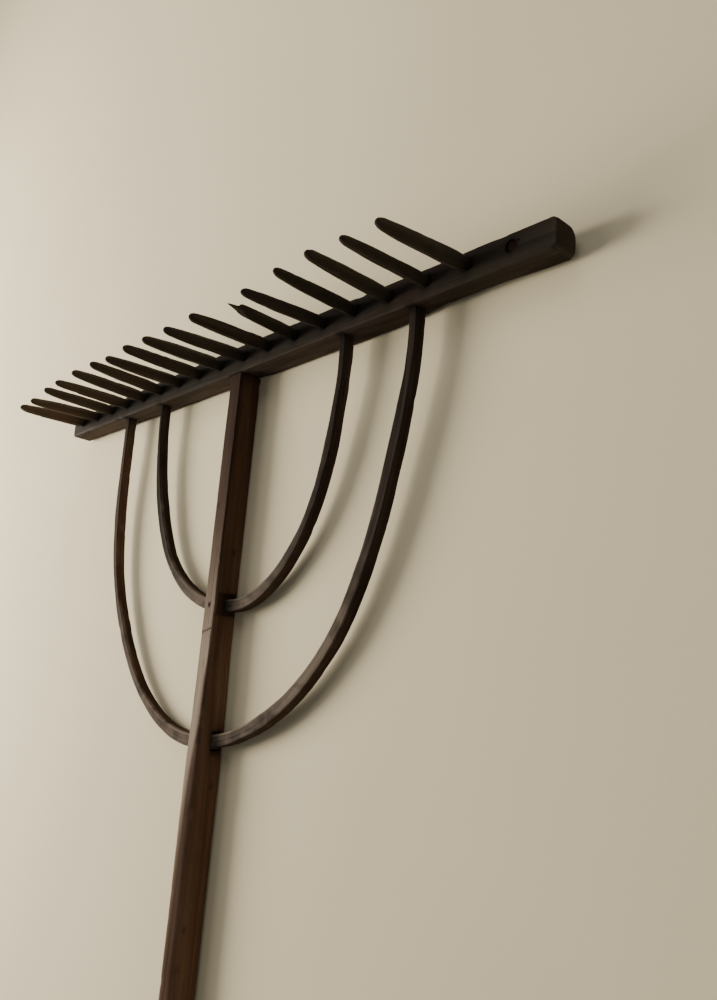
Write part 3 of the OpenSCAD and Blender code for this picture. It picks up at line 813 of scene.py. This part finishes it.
def handle_wear(final):
    """Grime with painted shade, bleaching with painted sheen, and warm colour of the handle's wood
    at each point.
    """
    x, y, z = final.T
    depth = UNDER_Y - y
    grime_and_shade = 0.75*fade(np.abs(depth), 5*MM)
    for bow in (OUTER, INNER):
        _, high, deep = ((final - BOW_ORIGIN) @ bow_turn(bow)).T
        high = high + bow["drop"]
        grime_and_shade += 0.9*fade(np.hypot(np.maximum(0, np.abs(high - 8.5*MM) - 12.5*MM),
                                   np.maximum(0, np.abs(deep - 6*MM) - 6*MM)), 2.2*MM)
        # painted shade on the faces inside each slot around the bow
        grime_and_shade += 0.6*((np.abs(high - 9*MM) < 15*MM) & (np.abs(x - 5*MM) < 13*MM)
                      & (z < 30*MM) & (z > 1*MM))
    # painted shade in the seat around the nail's head
    grime_and_shade += 0.95*fade(np.linalg.norm(final - nail_foot(), axis=1) - 2.4*MM, 0.7*MM)
    from_mark = y - SAW_MARK - (x - HANDLE_X)*SAW_SLOPE
    grime_and_shade += 0.75*bump_at(from_mark, 0, 0.9*MM)*(z > 30.5*MM)
    # the front is paler on its left, partly bleaching and partly painted sheen; down the grip the
    # pale band stops where the rounded grip turns away from the light, a painted light falloff
    painted_light_end = run(depth, (0, 48), (0.29, 48), (0.345, 18), (0.393, 13), (0.455, 12.5),
                   (0.49, 10.8), (0.54, 8.5), (0.606, 7.8), (0.666, 6), (0.727, 4), (0.8, 3))*MM
    painted_light_fade = run(depth, (0, 3), (0.44, 3), (0.49, 9), (0.54, 12), (0.6, 14), (0.8, 12))*MM
    facing = rise(z, front_at(depth) - 2.5*MM, 1.5*MM)*fall(x, painted_light_end, painted_light_fade)
    pale_and_sheen = facing*run(depth, (0, 0.02), (0.08, 0.03), (0.16, 0.06), (0.22, 0.22), (0.28, 0.48),
                      (0.32, 0.58), (0.345, 0.75), (0.36, 0.85), (0.45, 0.85), (0.49, 0.75),
                      (0.535, 0.6), (0.6, 0.36), (0.65, 0.25), (0.8, 0.1), (1.8, 0.05))
    pale_and_sheen += 0.06*fall(x, HANDLE_X, 12*MM)
    for *place, width in HANDLE_KNOTS:
        far = np.linalg.norm((final - np.array(place)*MM)*[1, 0.6, 1], axis=1)
        grime_and_shade += 0.85*bump_at(far, 0, width*MM)
    grime_and_shade += run(depth, (0, 0.55), (0.1, 0.42), (0.2, 0.22), (0.3, 0.05), (0.4, 0))
    # painted shade across the front of the grip, right of the pale band, where the rounded grip
    # turns away from the light
    painted_grip_shade = rise(x, painted_light_end - 0.75*painted_light_fade, run(depth, (0.4, 3), (0.45, 4), (0.5, 7), (0.6, 11))*MM)
    painted_grip_shade *= 1 - np.clip((x - 6*MM)/(9*MM), 0, 0.5)*(depth > 0.47)
    grime_and_shade += rise(z, 30.5*MM, 2.5*MM)*painted_grip_shade*run(
        depth, (0.37, 0), (0.4, 1.15), (0.46, 1.25), (0.55, 1.15), (0.7, 1), (0.8, 0.7), (1, 0.2),
        (1.2, 0))
    grime_and_shade += (x > 13*MM)*fade(31*MM - z, 5*MM)*run(
        depth, (0, 0.2), (0.06, 0.45), (0.18, 0.65), (0.24, 0.65), (0.3, 0.3), (0.42, 0.3),
        (0.46, 0))
    grime_and_shade += rise(z, 29*MM, 2*MM)*run(depth, (0, 0.5), (0.1, 0.5), (0.2, 0.45), (0.28, 0.15),
                                      (0.35, 0))
    # the side is warmer and lighter towards its back: partly warm streaks in the wood, partly
    # painted bounce light
    to_back = fall(z, 20*MM, 14*MM)*(x > HANDLE_X)
    # a little painted light on the rounded front-right corner of the grip, which turns away from
    # the lamps
    turned_edge = (rise(z, 21*MM, 3*MM)*fall(z, 31.5*MM, MM)*rise(x, 9*MM, 4*MM)
                   * run(depth, (0.42, 0), (0.5, 1)))
    warm = to_back*run(depth, (0, 0), (0.2, 0.1), (0.3, 0.45), (0.36, 0.8), (0.44, 0.7), (0.5, 0.3),
                       (0.7, 0.2), (1.8, 0.2))
    warm += run(depth, (0.4, 0), (0.55, 0.24), (1.8, 0.2)) + 0.05*turned_edge
    return (grime_and_shade, pale_and_sheen + 0.14*to_back*bump_at(depth, 0.41, 0.04),
            warm*(0.75 + 0.6*ripple(final, (0.02, 0.06, 0.02), 75)))


def make_handle():
    """The handle with its tenon, two leaning slots, the nail's seat and an old saw mark."""
    rings, known_edge = handle_rings()
    piece = skin("handle_pole", rings)
    cutters = []
    for bow in (OUTER, INNER):
        low, high = -bow["drop"], -bow["drop"] + BOW_THICK
        cutters.append(block((-40*MM, low - 0.4*MM, -0.2*MM),
                             (40*MM, high + 0.5*MM, BOW_DEEP + 0.3*MM), bow))
        for x0, x1 in ((-40*MM, -7*MM), (10.5*MM, 40*MM)):
            cutters.append(soft_block((x0, low - 0.9*MM, 0.3*MM), (x1, high + 7*MM, BOW_DEEP), bow))
    cutters.append(peg(nail_foot(), -24.1*MM, 5*MM, 1.55*MM, NAIL_SIDES))
    cutters.append(as_piece("cut", *wedge_points(0.05*MM, 1*MM)))
    cutters.append(saw_mark())
    carve(piece, cutters)
    carve(piece, [peg(nail_foot(), -1.9*MM, 5*MM, 2.45*MM, NAIL_SIDES)])
    final = corners_of(piece)
    edge = nearest(final, rings.reshape(-1, 3), known_edge)
    finish_wood(piece, (0, 1, 0), final[:, [1, 0, 2]] + [1.3, 0, 0], edge*0.45,
                *handle_wear(final), "handle", "handle_wood")


def nail_foot():
    return np.array([HANDLE_X - 1*MM, UNDER_Y - INNER["drop"] + BOW_THICK/2, 32*MM])


def wedge_points(gap, over):
    """The wedge in the end of the tenon, thick end outward."""
    mid = sum(TENON_Z)/2
    thick, thin = 1.6*MM + gap, 0.5*MM + gap
    y0, y1 = TENON_END + over, TENON_END - 22*MM - gap
    side = ((y0, mid - thick), (y0, mid + thick), (y1, mid + thin), (y1, mid - thin))
    points = [(x, y, z) for x in (TENON_X[0] - over, TENON_X[1] + over) for y, z in side]
    faces = [[0, 1, 2, 3], [7, 6, 5, 4], [0, 4, 5, 1], [1, 5, 6, 2], [2, 6, 7, 3], [3, 7, 4, 0]]
    return np.array(points), faces


def saw_mark():
    """A shallow stroke across the front of the handle."""
    points = []
    for x in (-14*MM, 24*MM):
        y = SAW_MARK + (x - HANDLE_X)*SAW_SLOPE
        points += [(x, y - 0.45*MM, 33.5*MM), (x, y + 0.45*MM, 33.5*MM), (x, y, 30.9*MM)]
    return as_piece("cut", points, [[0, 1, 2], [5, 4, 3], [0, 3, 4, 1], [1, 4, 5, 2], [2, 5, 3, 0]])


def make_wedge():
    """The wedge itself, its corners a little drawn in."""
    points, _ = wedge_points(0, 0)
    low, high = points.min(0), points.max(0)
    y = np.linspace(high[1], low[1], 26)
    draw = run(high[1] - y, (0, 0.25*MM), (0.8*MM, 0))
    half = run(y, (low[1], 0.5*MM), (high[1], 1.6*MM)) - draw
    mid = sum(TENON_Z)/2
    section, _, _ = soft_box(low[0] + draw, high[0] - draw, mid - half, mid + half,
                             np.full((26, 4), 0.25*MM), 4, 8)
    piece = skin("wedge_in_tenon", stations(y, section)[..., [1, 0, 2]])
    finish_wood(piece, (0, 1, 0), corners_of(piece)[:, [1, 0, 2]] + [5.3, 0.9, 0.2], 0, 0.15, 0.3,
                0.1, "tenon_wedge", "bow_wood")


# --- bows

def bow_edges(bow):
    """The outer and the inner edge of a bow, from its left end to its right."""
    u = np.linspace(0, math.pi/2, 161)
    reaches = bow["left"] - bow["lean"], bow["right"] + bow["lean"]
    edges = []
    for thin_end, thin_low in ((0, 0), (BOW_END_THICK, BOW_THICK)):
        halves = []
        for side, reach, leg, full in zip((-1, 1), reaches, bow["legs"], bow["full"]):
            x = side*(reach - thin_end)*np.cos(u)**(2/full) - bow["lean"]
            y = -leg - (bow["drop"] - leg - thin_low)*np.sin(u)**(2/full)
            halves.append(np.stack([[x[0]]*3 + x.tolist(), [10*MM, 5*MM, 0] + y.tolist()], 1))
        edges.append(np.concatenate([halves[0], halves[1][-2::-1]]))
    return edges


def bow_wear(bow, final, facing, outside, high, seed):
    """Grime, bleaching with painted sheen, and warm colour of a bow's wood at each point.

    facing is 1 on the front, outside goes from -1 inside the bend to 1, high is in metres.
    """
    x = final[:, 0] - HANDLE_X
    drop = UNDER_Y - final[:, 1]
    down = drop/bow["drop"]
    # the front is paler, more so down the bow: bleaching and painted sheen
    pale_and_sheen = facing*run(down, (0, 0), (0.3, 0.05), (0.6, 0.16), (0.85, 0.34), (1, 0.5))
    pale_and_sheen *= run(x, *bow["bleach_and_sheen"])
    low_side = (1 - facing)*run(down, (0.62, 0), (0.82, 1))*np.clip(outside, 0, 1)
    grime_and_shade = 0.72*fade(drop, 6*MM) + 0.72*fade(np.abs(x - 1*MM) - 14*MM, 3*MM)
    grime_and_shade += 0.5*facing*run(down, (0, 1), (0.5, 0.8), (0.8, 0.3), (1, 0.1))
    if bow is OUTER:
        left_leg = (1 - facing)*np.clip(-outside, 0, 1)*bump_at(x, -0.33, 0.06)
        pale_and_sheen = (0.8*pale_and_sheen + 0.15*np.clip(outside, 0, 1)*bump_at(x, -0.2, 0.1) + 0.2*left_leg
                + facing*(bump_at(x, 0.185, 0.05) + 0.3*bump_at(x, -0.17, 0.07)
                          * (0.6 + 0.5*ripple(final, 0.02, seed + 20))))
        warm = (run(x/bow["left"], (-1, 1.2), (-0.6, 0.8), (-0.1, 0.3), (0.4, 0.22), (1, 0.04))
                * run(down, (0, 0.2), (0.25, 0.9), (0.5, 0.8), (0.75, 0.5), (1, 0.6)))
        for kx, ky in BOW_KNOTS:
            far = np.hypot(final[:, 0] - kx*MM, final[:, 1] - ky*MM)
            grime_and_shade += 0.85*bump_at(far, 0, 3*MM)
    else:
        left_leg, warm = 0, 0.06
        grime_and_shade += 0.35*facing*bump_at(x, -0.19, 0.06)
    warm = warm*(0.8 + 0.5*ripple(final, (0.03, 0.03, 0.02), seed + 21))
    warm += 0.4*low_side + 0.3*left_leg
    arris = rise(-outside, 0.6, 0.25)*rise(high, 9*MM, 3*MM)
    pale_and_sheen += 0.14*low_side + 1.2*arris*run(down, (0.3, 0), (0.6, 0.6), (1, 1))
    mottle = ripple(final, (0.016, 0.012, 0.012), seed + 22) + 0.5*ripple(final, 0.006, seed + 23)
    worn = 0.16*facing*np.maximum(0, mottle)*run(down, (0.3, 0), (0.7, 1))
    return grime_and_shade, pale_and_sheen*(1 + 0.8*mottle) + worn, warm


def make_bow(name, bow, node, seed):
    """A bent bow, its strays from the smooth curve included, leaning from the head to its slot."""
    outer, inner = bow_edges(bow)
    steps = np.linalg.norm(np.diff((outer + inner)/2, axis=0), axis=1)
    keep = np.concatenate([[True], steps > 1e-7])
    far = np.concatenate([[0], np.cumsum(steps)])[keep]
    s = np.linspace(0, far[-1], int(far[-1]/BOW_STEP))
    outer, inner = (np.stack([np.interp(s, far, side[keep, k]) for k in (0, 1)], 1)
                    for side in (outer, inner))
    middle = (outer + inner)/2
    across = outer - inner
    half = np.linalg.norm(across, axis=1)/2
    across /= 2*half[:, None]
    free = rise(np.minimum(s, far[-1] - s), 10*MM, 25*MM)
    from_left, from_right = s/MM - 10, (far[-1] - s)/MM - 10
    stray_out, stray_in = (
        (run(from_left, *bow[side + "_left"]) + run(from_right, *bow[side + "_right"]))*MM
        for side in ("out", "in"))
    out_side = half + stray_out + free*uneven(s, (0.4, 0.06, seed), (0.25, 0.02, seed + 1))
    in_side = half - stray_in + free*uneven(s, (0.4, 0.05, seed + 2), (0.25, 0.02, seed + 3))
    front = BOW_DEEP + free*(uneven(s, (0.35, 0.09, seed + 4)) - 0.1*MM)
    rear = free*(uneven(s, (0.35, 0.08, seed + 5)) + 0.1*MM)
    radii = np.stack([uneven(s, (0.5, 0.03, seed + 6 + k), (0.3, 0.009, seed + 10 + k))
                      for k in range(4)], 1)
    section, out, edge = soft_box(-in_side, out_side, rear, front,
                                  np.clip(1.5*MM + radii, 0.7*MM, 2.6*MM), 6, 6)
    grain = stations(s, section).reshape(-1, 3)
    push = uneven(grain, (0.16, (0.03, 0.006, 0.006), seed + 14),
                  (0.06, (0.018, 0.0018, 0.0018), seed + 15))
    push -= worn_away(grain, edge, (0.014, 0.008, 0.008), 0.45, 1.5, seed + 16)
    section = section + out*(push.reshape(edge.shape)*free[:, None])[..., None]
    flat = middle[:, None] + across[:, None]*section[..., :1]
    points = in_place(np.concatenate([flat, section[..., 1:]], -1), bow)
    piece = skin(name, points)
    final = corners_of(piece)
    index = nearest(final, points.reshape(-1, 3), np.arange(edge.size))
    along = np.gradient(middle, axis=0)
    along /= np.linalg.norm(along, axis=1)[:, None]
    along = np.repeat(np.column_stack([along, 0*s]) @ bow_turn(bow).T, edge.shape[1], 0)
    high = section[..., 1]
    facing = rise(high, front[:, None] - 1.6*MM, 1.4*MM).reshape(-1)[index]
    outside = np.clip(section[..., 0]/half[:, None], -1, 1).reshape(-1)[index]
    wear = bow_wear(bow, final, facing, outside, high.reshape(-1)[index], seed)
    finish_wood(piece, along[index], grain[index] + [seed*0.61, seed*0.013, seed*0.021],
                edge.reshape(-1)[index]*0.6, *wear, node, "bow_wood")


# --- nails

def turned(name, foot, outline, node, wobble, seed):
    """A nail turned from its outline in mm, a little uneven as forged ones are."""
    rings = []
    for z, r in outline:
        bumps = wobble*ripple(circle(28, 1, z), 1.1, seed)
        rings.append(foot + circle(28, r*(1 + bumps), z)*MM)
    put(skin(name, rings, 35), node, "nail_iron")


def make_nails():
    turned("nail_in_handle", nail_foot(),
           ((-26, 0.5), (-24, 1.3), (-20, 1.48), (-2, 1.48), (-1.8, 1.5), (-1.75, 2.2),
            (-1.6, 2.33), (-1.25, 2.33), (-1, 2.2), (-0.8, 1.8), (-0.68, 1.2), (-0.62, 0.5)),
           "bow_nail", 0.05, 81)
    low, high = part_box("stub_nail")
    r = (high.x - low.x)/2/MM
    turned("nail_by_stub", np.array([(low.x + high.x)/2, (low.y + high.y)/2, high.z]),
           ((-17.9, 0.2), (-16, 0.8*r), (-14, 0.97*r), (-0.6, 0.97*r), (-0.25, 0.92*r),
            (-0.08, 0.7*r), (0, 0.35*r)), "stub_nail", 0.04, 82)


# --- putting it together

make_head()
for number in range(STUB):
    make_tooth(number)
make_stub()
make_handle()
make_wedge()
make_bow("bow_outer_bent", OUTER, "outer_bow", 90)
make_bow("bow_inner_bent", INNER, "inner_bow", 120)
make_nails()

far = 14.0
floor = as_piece("floor", [(-far, -far, 0), (far, -far, 0), (far, far, 0), (-far, far, 0)],
                 [[0, 1, 2, 3]])
floor.location.z = -0.3*MM
floor.data.materials.append(plaster("pale_floor"))

for name, place, aim, size, power, tint in (
        ("window_light", (-2.95, 0.68, 1.38), (0.05, 0.6, 0), 1.7, 230, (1, 0.97, 0.9)),
        ("high_window_light", (-1.6, 1, 1.8), (0.05, 0.6, 0), 1.7, 18, (1, 0.985, 0.95)),
        ("room_light", (0.3, 2.9, 1.7), (0.05, 0.5, 0), 1.8, 14, (0.97, 0.98, 1)),
        ("far_wall_light", (2.7, 0.2, 0.85), (0.1, 0.55, 0), 1.6, 9, (1, 0.98, 0.96))):
    lamp = bpy.data.lights.new(name, "AREA")
    lamp.shape = "DISK"
    lamp.size = size
    lamp.energy = power
    lamp.color = tint
    light = bpy.data.objects.new(name, lamp)
    light.location = place
    light.rotation_euler = (Vector(aim) - Vector(place)).to_track_quat("-Z", "Y").to_euler()
    bpy.context.scene.collection.objects.link(light)
world = bpy.data.worlds.new("room")
bpy.context.scene.world = world
world.use_nodes = True
glow = world.node_tree.nodes["Background"].inputs
glow["Color"].default_value = (0.9, 0.97, 1.06, 1)
glow["Strength"].default_value = 0.11

lens = bpy.data.cameras.new("camera")
lens.sensor_fit = "HORIZONTAL"
lens.sensor_width = 36.0
lens.lens = 41.47
lens.clip_start = 0.02
camera = bpy.data.objects.new("camera", lens)
camera.matrix_world = Matrix(((0.6723, 0.1094, 0.7322, 0.8922),
                              (0.0776, 0.9732, -0.2166, 0.492),
                              (-0.7362, 0.2024, 0.6457, 0.5832),
                              (0, 0, 0, 1)))
bpy.context.scene.collection.objects.link(camera)
bpy.context.scene.camera = camera
